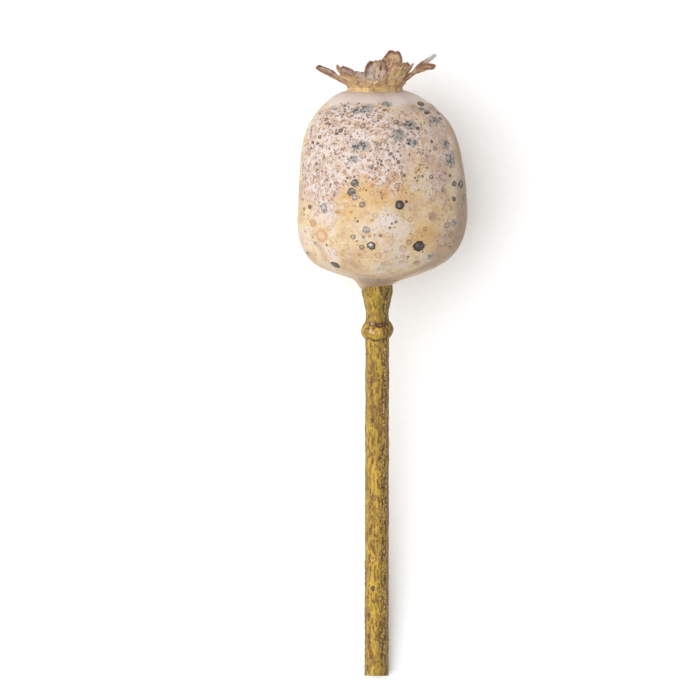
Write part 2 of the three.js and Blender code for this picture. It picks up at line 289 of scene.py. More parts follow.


# How each kind of mark looks: ink of its rim and how strong, fill and how strong, how strong a
# painted highlight set off its middle is, dark and pale flecks, in millimetres how high its dome and its
# rim stand or how deep they are sunk, and how much its outline wanders; one that wanders by 1 or more is a
# soft cloud without an outline
KINDS = {
    "blot": ("#241f1d", 0.9, "#4a4340", 0.95, 0.15, 0.9, 0.14, 0.04, 0.42),
    "grey blot": ("#403835", 0.7, "#6d6560", 0.9, 0.1, 1.0, 0.1, 0.04, 0.7),
    # A dark blot with a strong painted highlight in it
    "highlit blot": ("#2a2422", 0.9, "#736d69", 0.9, 1.0, 0.7, 0.14, 0.05, 0.5),
    "speck": ("#4a3a2f", 0.8, "#5b4636", 0.85, 0.0, 0.0, -0.06, 0.02, 0.6),
    "dark ring": ("#4a3d36", 0.8, "#94867a", 0.6, 0.25, 0.3, 0.04, 0.08, 0.45),
    "blister": ("#6a6360", 0.6, "#b3adaa", 0.8, 0.5, 0.6, 0.12, 0.03, 0.6),
    "tan ring": ("#b08055", 0.65, "#dcb88f", 0.3, 0.0, 0.0, 0.0, 0.07, 0.35),
    "ochre spot": ("#bd8446", 0.5, "#c68d4c", 0.7, 0.0, 0.0, -0.03, 0.02, 0.7),
    "brown spot": ("#6f4a33", 0.75, "#80583d", 0.8, 0.0, 0.2, -0.05, 0.03, 0.8),
    "brown ring": ("#85593f", 0.75, "#bb9273", 0.5, 0.0, 0.1, 0.02, 0.08, 0.5),
    "sunk ring": ("#c98d58", 0.7, "#e6bb92", 0.75, 0.25, 0.0, 0.1, 0.1, 0.5),
    "grey cloud": ("#8b8a8a", 0.0, "#b0aca8", 0.95, 0.0, 1.0, 0.05, 0.0, 1.1),
    "rose ring": ("#b07d68", 0.5, "#d2a58f", 0.45, 0.0, 0.0, 0.03, 0.08, 0.5),
    "rose patch": ("#b08670", 0.0, "#c59a84", 0.9, 0.0, 0.4, 0.05, 0.02, 1.1),
    "pepper": ("#6c6662", 0.0, "#a39c95", 0.85, 0.0, 1.0, 0.06, 0.0, 1.2),
    "bead": ("#553a1b", 0.8, "#dcb868", 0.9, 0.0, 0.0, 0.12, 0.0, 0.5),
    "brown bark": ("#7a4f26", 0.5, "#7f5528", 0.8, 0.0, 0.2, -0.03, 0.0, 0.8),
    "rust bark": ("#83572c", 0.3, "#8f5c2c", 0.7, 0.0, 0.3, 0.0, 0.0, 0.9),
    "dark bark": ("#4b3620", 0.6, "#5a4329", 0.85, 0.0, 0.3, -0.06, 0.0, 0.8),
    "pale scar": ("#4d2412", 1.0, "#c9a98c", 0.95, 0.0, 0.1, -0.15, 0.12, 0.3),
    "brown scar": ("#4d2412", 1.0, "#7d5c30", 0.95, 0.0, 0.1, -0.12, 0.12, 0.3),
    # Painted highlight: peach spots where the ring bulges toward the key light
    "painted peach highlight": ("#e9b883", 0.2, "#f2c893", 0.85, 0.0, 0.0, 0.05, 0.0, 0.8),
}


# A mark: its kind and place, the directions across and along it, half its width and half its length
Mark = namedtuple("Mark", "kind place across along wide tall")


def on_mark(points, mark):
    """Where points lie across and along a mark, in shares of half its width and half its length"""
    away = points - mark.place
    return np.stack([away @ mark.across / mark.wide, away @ mark.along / mark.tall], axis=1)


def near_mark(tree, mark, shares, beyond=0.0):
    """Which points of a tree lie near a mark: within so many times its reach, and a distance beyond"""
    reach = shares * max(mark.wide, mark.tall) + beyond
    return np.array([i for _, i, _ in tree.find_range(Vector(mark.place), reach)], dtype=int)


def tell_marks(piece, marks):
    """Gives every face the nearest mark: where the face lies on it, and how that kind of mark looks"""
    mesh = piece.data
    centres = triples(mesh.polygons, "center")
    tree = tree_of(centres)
    nearest = np.full(len(centres), 1.5)
    owner = np.full(len(centres), -1)
    for number, mark in enumerate(marks):
        found = near_mark(tree, mark, 1.5, 0.1)
        share = np.hypot(*on_mark(centres[found], mark).T)
        closer = share < nearest[found]
        nearest[found[closer]] = share[closer]
        owner[found[closer]] = number
    corners = np.empty(len(mesh.loops), dtype=np.int32)
    mesh.loops.foreach_get("vertex_index", corners)
    points = places(piece)[corners]
    sizes = np.empty(len(centres), dtype=np.int32)
    mesh.polygons.foreach_get("loop_total", sizes)
    owner = np.repeat(owner, sizes)
    order = np.argsort(owner, kind="stable")
    starts = np.searchsorted(owner[order], np.arange(len(marks) + 1))
    spot = np.full((len(corners), 2), 9.0)
    ink, fill, extra = (np.zeros((len(corners), 4)) for _ in range(3))
    for number, mark in enumerate(marks):
        mine = order[starts[number] : starts[number + 1]]
        spot[mine] = on_mark(points[mine], mark)
        ink_colour, rim, fill_colour, body, painted_highlight, fleck, dome, _, wander = KINDS[mark.kind]
        ink[mine] = (*tone(ink_colour)[:3], rim)
        fill[mine] = (*tone(fill_colour)[:3], body)
        extra[mine] = (painted_highlight, fleck, 0.5 + dome, wander)
    layer = mesh.uv_layers.new(name="mark")
    layer.uv.foreach_set("vector", spot.astype(np.float32).ravel())
    for name, values in (("mark_ink", ink), ("mark_fill", fill), ("mark_extra", extra)):
        colours = mesh.attributes.new(name, "FLOAT_COLOR", "CORNER")
        colours.data.foreach_set("color", values.astype(np.float32).ravel())


def mark_relief(points, marks):
    """How far the marks' domes and rims stand out at each point"""
    tree = tree_of(points)
    relief = np.zeros(len(points))
    for mark in marks:
        dome, rim = KINDS[mark.kind][6:8]
        found = near_mark(tree, mark, 1.4)
        share = np.hypot(*on_mark(points[found], mark).T)
        swell = dome * np.clip(1 - share**2, 0, 1) ** 0.7 + rim * np.exp(-(((share - 0.85) / 0.2) ** 2))
        stronger = np.abs(swell) > np.abs(relief[found])
        relief[found[stronger]] = swell[stronger]
    return relief


# Stalk

def stalk_girth(height):
    from_ring = np.abs(height - RING_HEIGHT) / RING_HALF_LENGTH
    ring = RING_PROUD * np.clip(1 - from_ring**1.5, 0, 1) ** 0.8
    waist = -0.2 * np.exp(-(((height - NECK_HEIGHT) / 1.6) ** 2))
    flare = NECK_FLARE * smoothstep(height, NECK_HEIGHT, SEAM_HEIGHT)
    return STALK_RADIUS - 0.0009 * height + ring + waist + flare


def on_stalk(turn, height):
    girth = stalk_girth(height)
    return np.array([girth * math.sin(turn), height, girth * math.cos(turn)])


def bent_stalk(points):
    """The ring leans a little, the seam under the pod slants, and so does the cut"""
    lean = 0.07 * np.exp(-(((points[:, 1] - RING_HEIGHT) / 3) ** 2))
    seam = SEAM_SLANT * smoothstep(points[:, 1], NECK_HEIGHT, SEAM_HEIGHT)
    bent = points.copy()
    bent[:, 1] += points[:, 0] * (lean + seam)
    bent[:, 1] += CUT_SLANT * points[:, 2] * (1 - smoothstep(points[:, 1], CUT_END, 4))
    return bent


# Marks on the stalk's front: across from its axis, height, half the width and half the length
STALK_MARKS = {
    "brown bark": [
        (-2.0, 82.2, 0.57, 0.57), (-0.7, 73.2, 0.47, 0.57), (-1.4, 60.4, 0.47, 0.42),
        (-1.9, 39.6, 0.36, 1.04), (-0.5, 38.5, 0.42, 0.52), (-1.0, 36.9, 0.44, 0.47),
        (-2.4, 21.4, 0.52, 0.42), (-2.6, 5.7, 0.36, 0.78), (-1.8, 5.4, 0.31, 0.57),
        (-2.5, 103.1, 0.34, 0.42), (-1.7, 79.7, 0.26, 0.52), (-1.5, 76.7, 0.34, 1.17),
        (-1.4, 58.5, 0.31, 0.83), (-1.8, 46.3, 0.26, 0.57), (0.1, 53.1, 0.31, 0.65),
        (-2.6, 36.9, 0.26, 0.52), (-1.8, 29.3, 0.31, 0.91), (-1.0, 100.3, 0.18, 0.52),
    ],
    "dark bark": [
        (-1.4, 69.4, 0.52, 0.73), (-1.2, 24.0, 0.68, 0.73), (-2.2, 16.5, 0.62, 0.73),
        (-2.2, 10.8, 0.52, 0.83), (-2.6, 1.6, 0.57, 1.17), (-3.0, 94.2, 0.4, 0.3),
        (1.0, 104.3, 0.23, 1.3), (2.5, 103.0, 0.26, 1.82), (2.0, 97.0, 0.21, 1.3),
        (1.7, 99.5, 0.26, 1.56), (-0.7, 90.9, 1.3, 0.36), (1.9, 91.2, 1.1, 0.32),
        (-2.9, 91.2, 0.6, 0.3), (-2.4, 94.2, 0.4, 0.3), (2.4, 95.1, 0.8, 0.35),
        (-0.4, 95.4, 0.5, 0.3),
    ],
    "rust bark": [(0.9, 73.4, 0.65, 2.34), (-0.2, 57.2, 0.26, 1.17), (-0.9, 48.8, 0.6, 1.17)],
    "pale scar": [(-1.5, 95.3, 1.0, 0.6)],
    "brown scar": [(0.55, 94.9, 1.2, 0.65)],
    "bead": [(0.8, 102.7, 0.31, 0.47)],
    # Painted highlights on the ring's front left
    "painted peach highlight": [(-1.9, 93.6, 0.5, 0.6), (-1.2, 93.1, 0.5, 0.4), (0.7, 93.1, 0.3, 0.25)],
}


def stalk_mark(kind, turn, height, wide, tall):
    across = np.array([math.cos(turn), 0, -math.sin(turn)])
    return Mark(kind, on_stalk(turn, height), across, np.array([0, 1.0, 0]), wide, tall)


def stalk_marks():
    """The listed marks, rows of beads, and seeded flecks all round"""
    marks = []
    for kind, spots in STALK_MARKS.items():
        for across, height, wide, tall in spots:
            turn = math.asin(across / stalk_girth(height))
            marks.append(stalk_mark(kind, turn, height, wide, tall))
    draw = random.Random(5)
    for number, (degrees, sparse) in enumerate(BEAD_ROWS):
        height = 0.2
        while height < BARK_TOP:
            height += draw.uniform(0.75, 1.7)
            here = Vector((number * 9.1, height / 6, 0))
            turn = degrees + 11 * noise.noise(here + Vector((0, 0, 5))) + draw.uniform(-3, 3)
            on_ring = abs(height - RING_HEIGHT) < RING_HALF_LENGTH + 0.6
            if noise.noise(here) > sparse and not on_ring:
                wide, tall = draw.uniform(0.18, 0.34), draw.uniform(0.3, 0.75)
                marks.append(stalk_mark("bead", math.radians(turn), height, wide, tall))
    neck = (RING_HEIGHT + RING_HALF_LENGTH, SEAM_HEIGHT)
    spreads = [(kind, count, (0, RING_HEIGHT), (0.12, 0.3), (1.2, 4.5)) for kind, count in FLECKS]
    spreads += [(kind, NECK_FLECKS, neck, (0.07, 0.16), (1.5, 5)) for kind, _ in FLECKS]
    for kind, count, heights, widths, slender in spreads:
        for _ in range(count):
            turn = draw.uniform(-1, 1) * math.pi
            height = draw.uniform(*heights)
            wide = draw.uniform(*widths)
            marks.append(stalk_mark(kind, turn, height, wide, wide * draw.uniform(*slender)))
    return marks


def make_stalk():
    heights = [CUT_END, CUT_END + 0.15, CUT_END + 0.5] + list(np.arange(2.4, RING_HEIGHT - 4, 2.7))
    heights += [RING_HEIGHT + RING_HALF_LENGTH * math.sin(math.pi / 2 * k / 6) for k in range(-6, 7)]
    heights += [NECK_HEIGHT + k for k in (-0.8, 0.4, 1.6, 3, 4.5)] + [SEAM_HEIGHT - 1, SEAM_HEIGHT + 1.2]
    rings = [(CUT_END, STALK_RADIUS * 0.5, 0.0)] + [(h, float(stalk_girth(h)), 0.0) for h in heights]
    rings.append((SEAM_HEIGHT + 1.3, float(stalk_girth(SEAM_HEIGHT)) * 0.5, 0.0))
    stalk = drawn_up("stalk_bark", rings, STALK_SIDES)
    finish_with(stalk, "SUBSURF", levels=3, render_levels=3)
    add_stubs(stalk)
    points = places(stalk)
    marks = stalk_marks()
    girth = np.hypot(points[:, 0], points[:, 2])
    side = smoothstep(girth / stalk_girth(points[:, 1]), 0.7, 0.92)
    turn = np.arctan2(points[:, 0], points[:, 2])
    on_ring = np.where(np.abs(points[:, 1] - RING_HEIGHT) < RING_HALF_LENGTH, 0.4, 1.0)
    wander = 0.5 * np.sin(points[:, 1] / 9) + 0.35 * np.sin(points[:, 1] / 4.1 + 1.3)
    relief = 0.12 * on_ring * np.cos(8 * turn + wander) - 0.06
    stretched = points * np.array([1.0, 0.3, 1.0])
    relief += 0.08 * lumps(stretched, 0.9, 2, 31) + 0.06 * lumps(points, 2.6, 2, 32)
    relief += mark_relief(points, marks)
    rough = np.zeros(len(points))
    for degrees, reach, strength in ROUGH_SIDES:
        miss = (np.degrees(turn) - degrees + 180) % 360 - 180
        rough += strength * np.exp(-((miss / reach) ** 2))
    note(stalk, "rough_side", rough + 0.3 * lumps(stretched, 2.5, 2, 33))
    # Painted shade: the stalk's right flank, away from the key light, and a thin strip along its left edge
    # are darkened in the colour
    right_side = np.exp(-(((np.degrees(turn) - 84) / 22) ** 2))
    left_side = np.exp(-(((np.degrees(turn) + 86) / 9) ** 2))
    note(stalk, "painted_shade_sides", right_side + 0.5 * left_side)
    note(stalk, "neck", smoothstep(points[:, 1], RING_HEIGHT + 1.5, NECK_HEIGHT))
    tell_marks(stalk, marks)
    outward = np.stack([np.sin(turn), np.zeros(len(points)), np.cos(turn)], axis=1)
    shaped = points + outward * (relief * side)[:, None]
    put(stalk, bent_stalk(shaped))
    lay_down(stalk, "stalk")
    stalk.data.materials.append(stalk_bark())


def add_stubs(stalk):
    """Broken-off bristles: a low cone here and there, kept off the side that the stalk lies on"""
    draw = random.Random(23)
    stubs = []
    for _ in range(STUBS):
        turn = draw.uniform(-0.62, 0.62) * math.pi
        height = draw.uniform(1.5, 89)
        place = on_stalk(turn, height)
        outward = Vector((math.sin(turn), draw.uniform(-0.5, 0.5), math.cos(turn)))
        start_afresh()
        bpy.ops.mesh.primitive_cone_add(
            vertices=7,
            radius1=draw.uniform(0.14, 0.24),
            radius2=0.05,
            depth=draw.uniform(0.3, 0.55),
            location=place,
            rotation=outward.to_track_quat("Z", "Y").to_euler(),
        )
        stubs.append(bpy.context.object)
    join_to(stalk, stubs)


# Pod

def outline_rows(count):
    """The pod's outline as even rows of height, girth and shift, on a smooth curve through its points"""
    points = np.array(POD_OUTLINE)
    steps = np.linalg.norm(np.diff(points, axis=0), axis=1)
    marks = np.concatenate([[0], np.cumsum(np.sqrt(steps))])
    slopes = np.gradient(points, marks, axis=0)
    fine = []
    for i in range(len(points) - 1):
        span = marks[i + 1] - marks[i]
        for t in np.linspace(0, 1, 12, endpoint=False):
            start = (1 + 2 * t) * (1 - t) ** 2 * points[i] + t * (1 - t) ** 2 * span * slopes[i]
            end = t * t * (3 - 2 * t) * points[i + 1] + t * t * (t - 1) * span * slopes[i + 1]
            fine.append(start + end)
    fine.append(points[-1])
    fine = np.array(fine)
    run = np.concatenate([[0], np.cumsum(np.linalg.norm(np.diff(fine, axis=0), axis=1))])
    even = np.linspace(0, run[-1], count)
    height, left, right = (np.interp(even, run, fine[:, k]) for k in range(3))
    return np.stack([height, (left + right) / 2, (right - left) / 2], axis=1)


POD_ROWS = outline_rows(120)


def pod_row(height):
    girth = np.interp(height, POD_ROWS[:, 0], POD_ROWS[:, 1])
    shift = np.interp(height, POD_ROWS[:, 0], POD_ROWS[:, 2])
    return girth, shift


def on_front(across, height):
    """The place on the pod's front at this distance across and this height"""
    girth, shift = pod_row(height)
    turn = math.asin(max(-1, min(1, (across - shift) / girth)))
    return on_pod(turn, height)


def on_pod(turn, height):
    girth, shift = pod_row(height)
    return np.array([shift + girth * math.sin(turn), height, girth * math.cos(turn)])


# Seeded stains of each kind on the back
BACK_STAINS = 6
# Stains on the skin: across, height, reach and strength in millimetres, on the front
STAINS = {
    "netting": [
        (-12, 148, 7, 1.0), (-16, 141, 6, 0.9), (-5, 148, 7, 0.9), (-8, 142, 6, 0.9),
        (-18, 134, 5, 0.7), (-13, 136, 5, 0.7), (1, 144, 6, 0.5), (-14, 130, 5, 0.6), (15, 131, 5, 0.5),
        (3, 137, 5, 0.4), (8, 147, 6, 0.6), (17, 139, 5, 0.4), (15, 149, 5, 0.5),
    ],
    "ochre": [
        (-7.2, 128.7, 6.1, 1.0), (4.2, 132.1, 6.5, 0.8), (11.8, 119.9, 4.6, 0.9),
        (-1.6, 136.6, 3.5, 0.5), (10.5, 138.2, 3.0, 0.5), (-15.5, 120, 3.5, 0.7), (-2, 117, 6, 0.35),
        (15.5, 127, 3.0, 0.5),
    ],
    "bloom": [
        (2.4, 124.1, 3.5, 0.75), (7.5, 122.0, 2.5, 0.55), (-10.7, 132.3, 2.0, 0.8),
        (-12.2, 125.4, 1.8, 0.9), (-11.5, 115.0, 2.5, 0.6), (5.5, 116.8, 2.5, 0.5), (-16, 131, 3, 0.9),
        (-12.5, 129, 2.0, 0.7), (15, 133.5, 3, 0.6), (14, 145, 4, 0.5), (-6, 108.5, 4, 0.5),
    ],
    "rose": [
        (17.0, 134.5, 3.6, 0.8), (18.4, 119.8, 4.6, 0.9), (13.1, 140.5, 3.5, 0.7),
        (15.1, 148.9, 4.6, 1.0), (18.5, 143, 4.5, 1.0), (8, 152, 4, 0.7), (6, 141, 5, 0.4),
        (4, 112, 6, 0.3),
    ],
    # The tan stains are partly the skin's own tan and partly painted shade along the right edge, the top
    # right and the bottom, where the pod turns away from the key light
    "tan": [
        (22, 118, 7, 1.0), (23, 127, 7, 1.1), (22.5, 137, 7.5, 1.1), (20.5, 146, 6.5, 1.2),
        (14, 152, 4, 0.7), (13, 111, 6, 0.8), (0, 107, 6, 1.1), (-12, 108, 5, 0.5), (-21, 118, 4, 0.4),
    ],
}

# Marks on the pod as the front view shows them: across, height, and radius, or half the width and length
MARKS = {
    "blot": [
        (10.4, 117.5, 1.52), (5.4, 128.3, 1.21), (-9.6, 146.6, 0.58), (11.2, 153.2, 0.92),
        (12.6, 151.2, 0.77), (-11.0, 112.2, 1.1, 1.2),
    ],
    "grey blot": [
        (-6.0, 133.7, 1.11), (-6.8, 131.5, 1.08), (19.8, 128.9, 0.66), (19.9, 132.8, 0.74),
        (21.6, 132.3, 1.1),
    ],
    "highlit blot": [(-1.8, 118.0, 1.16)],
    "speck": [
        (7.1, 129.1, 0.43), (-5.5, 119.0, 0.25), (-17.9, 126.8, 0.59), (-19.3, 126.0, 0.46),
        (-5.3, 124.1, 0.33), (-13.2, 117.5, 0.31), (0.2, 108.0, 0.52), (7.7, 114.7, 0.3),
        (18.8, 116.4, 0.28), (4.1, 122.7, 0.23), (4.5, 107.1, 0.57), (-10.5, 145.9, 0.38),
        (-17.1, 143.3, 0.41), (-15.8, 143.2, 0.43), (-17.4, 141.8, 0.33), (-13.1, 134.2, 0.28),
        (15.6, 150.5, 0.57), (16.2, 149.3, 0.51), (10.0, 147.3, 0.56), (7.5, 144.6, 0.35),
        (13.7, 143.9, 0.38), (9.3, 135.0, 0.33), (18.7, 135.0, 0.43),
    ],
    "dark ring": [
        (-4.2, 117.5, 0.73), (-6.5, 120.1, 0.68), (-3.8, 120.2, 0.45), (-4.1, 128.4, 0.81),
        (16.5, 131.5, 0.51), (22.5, 128.7, 0.93), (-1.7, 137.8, 0.55), (-4.0, 147.9, 0.76),
        (-0.3, 143.5, 0.5), (4.5, 148.9, 0.76), (1.6, 144.1, 0.45), (14.5, 142.1, 0.58),
        (13.4, 135.0, 0.58), (10.2, 135.3, 0.43),
    ],
    "blister": [(-3.1, 122.0, 1.01), (-13.9, 127.0, 0.9, 1.3), (-6.0, 130.1, 0.76)],
    "tan ring": [
        (-8.1, 128.1, 0.68), (-1.7, 131.3, 0.68), (-0.8, 125.7, 0.76), (-0.1, 115.5, 0.89),
        (-6.5, 112.7, 0.56), (8.5, 130.4, 0.76), (7.8, 127.2, 0.5), (8.1, 124.6, 0.71),
        (8.2, 123.0, 0.5), (10.5, 122.1, 0.51), (9.2, 119.8, 0.76), (15.1, 113.9, 0.64),
        (16.5, 113.5, 0.64), (17.2, 115.2, 0.59), (11.2, 139.3, 0.68),
    ],
    "ochre spot": [
        (-10.5, 126.3, 0.61), (-7.0, 126.3, 0.45), (-11.8, 129.5, 0.51), (-17.0, 122.8, 1.02),
        (-4.9, 115.3, 0.51),
    ],
    "brown spot": [
        (-19.7, 128.4, 0.41), (0.6, 120.6, 0.43), (4.4, 124.1, 0.4), (3.4, 123.7, 0.33),
        (1.6, 151.7, 0.58), (-15.2, 144.9, 0.51), (-15.7, 136.6, 0.33), (-13.5, 149.3, 0.51),
        (-13.0, 148.4, 0.51), (3.0, 141.1, 0.53), (5.0, 139.1, 0.53), (1.0, 138.2, 0.3),
        (4.8, 141.7, 0.28), (6.6, 142.9, 0.28), (6.5, 135.7, 0.45), (9.9, 134.3, 0.4),
    ],
    "brown ring": [
        (0.9, 130.7, 0.5), (11.9, 122.0, 0.58), (7.8, 118.7, 0.73), (17.9, 122.4, 0.84),
        (19.0, 119.7, 0.69), (17.6, 117.1, 0.51), (0.3, 150.0, 0.76), (-0.5, 142.2, 0.55),
        (9.4, 152.6, 0.64), (2.1, 147.9, 0.68), (4.7, 133.1, 0.73),
    ],
    "sunk ring": [(-14.6, 119.9, 1.66)],
    "grey cloud": [
        (-16.4, 117.5, 0.8), (-18.3, 114.2, 1.0), (19.9, 122.7, 1.3), (13.6, 114.4, 1.2),
        (-4.8, 143.0, 3.1, 2.0), (-3.2, 152.0, 2.6, 2.2), (2.1, 153.2, 1.8, 1.4), (8.6, 143.8, 1.7, 1.4),
        (17.6, 143.1, 1.4, 1.5), (18.9, 139.0, 2.0, 2.5), (-6.3, 139.7, 1.5, 1.3),
    ],
    "rose ring": [(6.3, 117.0, 1.01), (13.8, 129.7, 0.86), (1.2, 113.1, 0.81)],
    "rose patch": [(13.8, 125.1, 1.52), (10.0, 112.9, 1.27)],
    "pepper": [
        (-11.3, 152.0, 1.0, 0.8), (-8.6, 152.6, 0.9, 0.6), (14.8, 149.1, 2.0, 1.6),
        (8.0, 148.3, 2.1, 1.9), (5.1, 145.7, 2.3, 2.0), (11.3, 152.0, 1.4, 1.2), (-5.6, 151.5, 1.4),
    ],
}


def make_pod():
    rows = outline_rows(POD_RINGS)
    rings = [(rows[0][0] - 0.02, 1.5, rows[0][2])] + [tuple(row) for row in rows]
    rings += [(POD_TOP - 0.05, 5.5, CROWN_SHIFT), (POD_TOP, 1.5, CROWN_SHIFT)]
    pod = drawn_up("pod_husk", rings, POD_SIDES)
    finish_with(pod, "SUBSURF", levels=3, render_levels=3)
    points = places(pod)
    outward = facings(pod)
    marks = all_marks()
    points = points + outward * pod_relief(pod, points, marks)[:, None]
    put(pod, points)
    tell_marks(pod, marks)
    put(pod, hung_skin(points))
    lay_down(pod, "pod")
    pod.data.materials.append(pod_skin())


def hung_skin(points):
    """The seam under the pod slants a little, and the skin hangs down in a short flap at its left"""
    girth = np.hypot(points[:, 0], points[:, 2])
    low = points[:, 1] < POD_MIDDLE
    seam = low * (1 - smoothstep(girth, 4.6, 7.6))
    turn = np.degrees(np.arctan2(points[:, 0], points[:, 2]))
    flap = low * (1 - smoothstep(girth, 4.2, 6.2)) * np.exp(-(((turn + 74) / 26) ** 2))
    hung = points.copy()
    hung[:, 1] += points[:, 0] * SEAM_SLANT * seam - 1.1 * flap
    return hung


def pod_mark(kind, place, wide, tall):
    """A mark on the pod, with the directions across and along it at its place"""
    girth, shift = pod_row(place[1])
    turn = math.atan2(place[0] - shift, place[2])
    across = np.array([math.cos(turn), 0, -math.sin(turn)])
    along = on_pod(turn, place[1] + 0.2) - on_pod(turn, place[1] - 0.2)
    return Mark(kind, place, across, along / np.linalg.norm(along), wide, tall)


# Small marks spread by a seeded draw: kind, least and greatest radius, how many, the turns from the
# front in half turns and the heights that they keep to
ALL_ROUND = (-1, 1)
BACK = (0.55, 1.45)
WHOLE_SKIN = (109, 152.5)
SPREAD = [
    ("speck", 0.15, 0.34, 60, (-0.36, 0.02), (149.5, 153.5)),
    ("brown ring", 0.25, 0.5, 60, (-0.42, 0.06), (133, 152)),
    ("speck", 0.14, 0.32, 130, (-0.45, 0.1), (130, 153)),
    ("brown spot", 0.18, 0.4, 70, (-0.42, 0.3), (134, 152)),
    ("dark ring", 0.25, 0.5, 16, (0.05, 0.42), (128, 152)),
    ("tan ring", 0.35, 0.8, 170, ALL_ROUND, WHOLE_SKIN),
    ("brown ring", 0.3, 0.6, 60, ALL_ROUND, WHOLE_SKIN),
    ("brown ring", 0.3, 0.6, 26, (0.2, 0.45), (112, 128)),
    ("speck", 0.12, 0.28, 80, ALL_ROUND, WHOLE_SKIN),
    ("brown spot", 0.15, 0.4, 90, ALL_ROUND, WHOLE_SKIN),
    ("ochre spot", 0.2, 0.6, 60, ALL_ROUND, WHOLE_SKIN),
    ("rose ring", 0.4, 0.8, 40, ALL_ROUND, WHOLE_SKIN),
    ("blot", 0.6, 1.4, 12, BACK, WHOLE_SKIN),
    ("highlit blot", 0.7, 1.2, 4, BACK, WHOLE_SKIN),
    ("blister", 0.6, 1.1, 10, BACK, WHOLE_SKIN),
    ("grey cloud", 1.0, 2.2, 14, BACK, WHOLE_SKIN),
    ("pepper", 1.0, 2.0, 10, BACK, WHOLE_SKIN),
    ("rose patch", 0.8, 1.5, 6, BACK, WHOLE_SKIN),
    ("sunk ring", 1.0, 1.6, 2, BACK, WHOLE_SKIN),
]


def all_marks():
    """The listed marks on the front, and the seeded ones spread between them and over the back"""
    marks = []
    for kind, spots in MARKS.items():
        for across, height, *reach in spots:
            girth, shift = pod_row(height)
            slanting = min(1.6, 1 / math.sqrt(max(0.1, 1 - ((across - shift) / girth) ** 2)))
            marks.append(pod_mark(kind, on_front(across, height), reach[0] * slanting, reach[-1]))
    draw = random.Random(11)
    for kind, least, most, count, turns, heights in SPREAD:
        for _ in range(count):
            place = on_pod(draw.uniform(*turns) * math.pi, draw.uniform(*heights))
            radius = draw.uniform(least, most)
            if all(np.linalg.norm(place - other.place) > 0.85 * (radius + other.wide) for other in marks):
                marks.append(pod_mark(kind, place, radius, radius * draw.uniform(0.8, 1.1)))
    return marks


def stain_weight(points, name):
    weight = np.zeros(len(points))
    for across, height, reach, strength in STAINS[name]:
        away = np.linalg.norm(points - on_front(across, height), axis=1)
        weight += strength * np.exp(-((away / reach) ** 2))
    draw = random.Random(name)
    for _ in range(BACK_STAINS):
        centre = on_pod(draw.uniform(0.6, 1.4) * math.pi, draw.uniform(112, 150))
        away = np.linalg.norm(points - centre, axis=1)
        weight += draw.uniform(0.5, 0.9) * np.exp(-((away / draw.uniform(4, 8)) ** 2))
    return weight


def net_strands(points, cell, seed):
    """How far each point is from the nearest strand of a wandering net with meshes of the given size"""
    # The vector noise differs from run to run unless its seed is set
    noise.seed_set(seed)
    away = np.empty(len(points))
    shift = Vector((seed * 3.1, seed * 7.7, seed * -5.3))
    for i, p in enumerate(points):
        place = Vector(p)
        wander = noise.noise_vector(place / (cell * 0.9) + shift) * 0.5
        near, centres = noise.voronoi(place / cell + wander + shift)
        span = max((centres[1] - centres[0]).length, 1e-6)
        away[i] = (near[1] ** 2 - near[0] ** 2) / (2 * span) * cell
    return away


def pod_relief(pod, points, marks):
    """How far the skin stands out at each point; the net and the stains are kept for the material"""
    girth, shift = pod_row(points[:, 1])
    turn = np.arctan2(points[:, 0] - shift, points[:, 2])
    to_end = (points[:, 1] - POD_MIDDLE) / (POD_TOP - POD_MIDDLE)
    share = smoothstep(girth, 5, 12)
    relief = share * 0.1 * (1 + 0.8 * to_end**2) * np.cos(CARPELS * turn) - 0.15
    relief += share * (0.12 * np.cos(3 * turn + 0.6) + 0.1 * np.cos(2 * turn - 0.4))
    relief += share * (0.1 * lumps(points, 9, 2, 1) + 0.025 * lumps(points, 2.2, 2, 2))
    netting = stain_weight(points, "netting") + 0.3 * lumps(points, 5, 2, 3)
    netting = np.clip(netting, 0, 1.3) * (1 - smoothstep(points[:, 1], 152, 154))
    strand = 0.16 + 0.22 * lumps(points, 1.6, 2, 5) - net_strands(points, 2.7, 2)
    relief += 0.12 * smoothstep(strand, -0.3, 0.12) * smoothstep(netting, 0.15, 0.7)
    note(pod, "strand", strand)
    note(pod, "netting", netting)
    for name in ("ochre", "bloom", "rose", "tan"):
        note(pod, name, stain_weight(points, name))
    note(pod, "dome", smoothstep(points[:, 1] + 0.8 * lumps(points, 3, 2, 6), 151.8, 154))
    relief += mark_relief(points, marks)
    return relief


# Crown

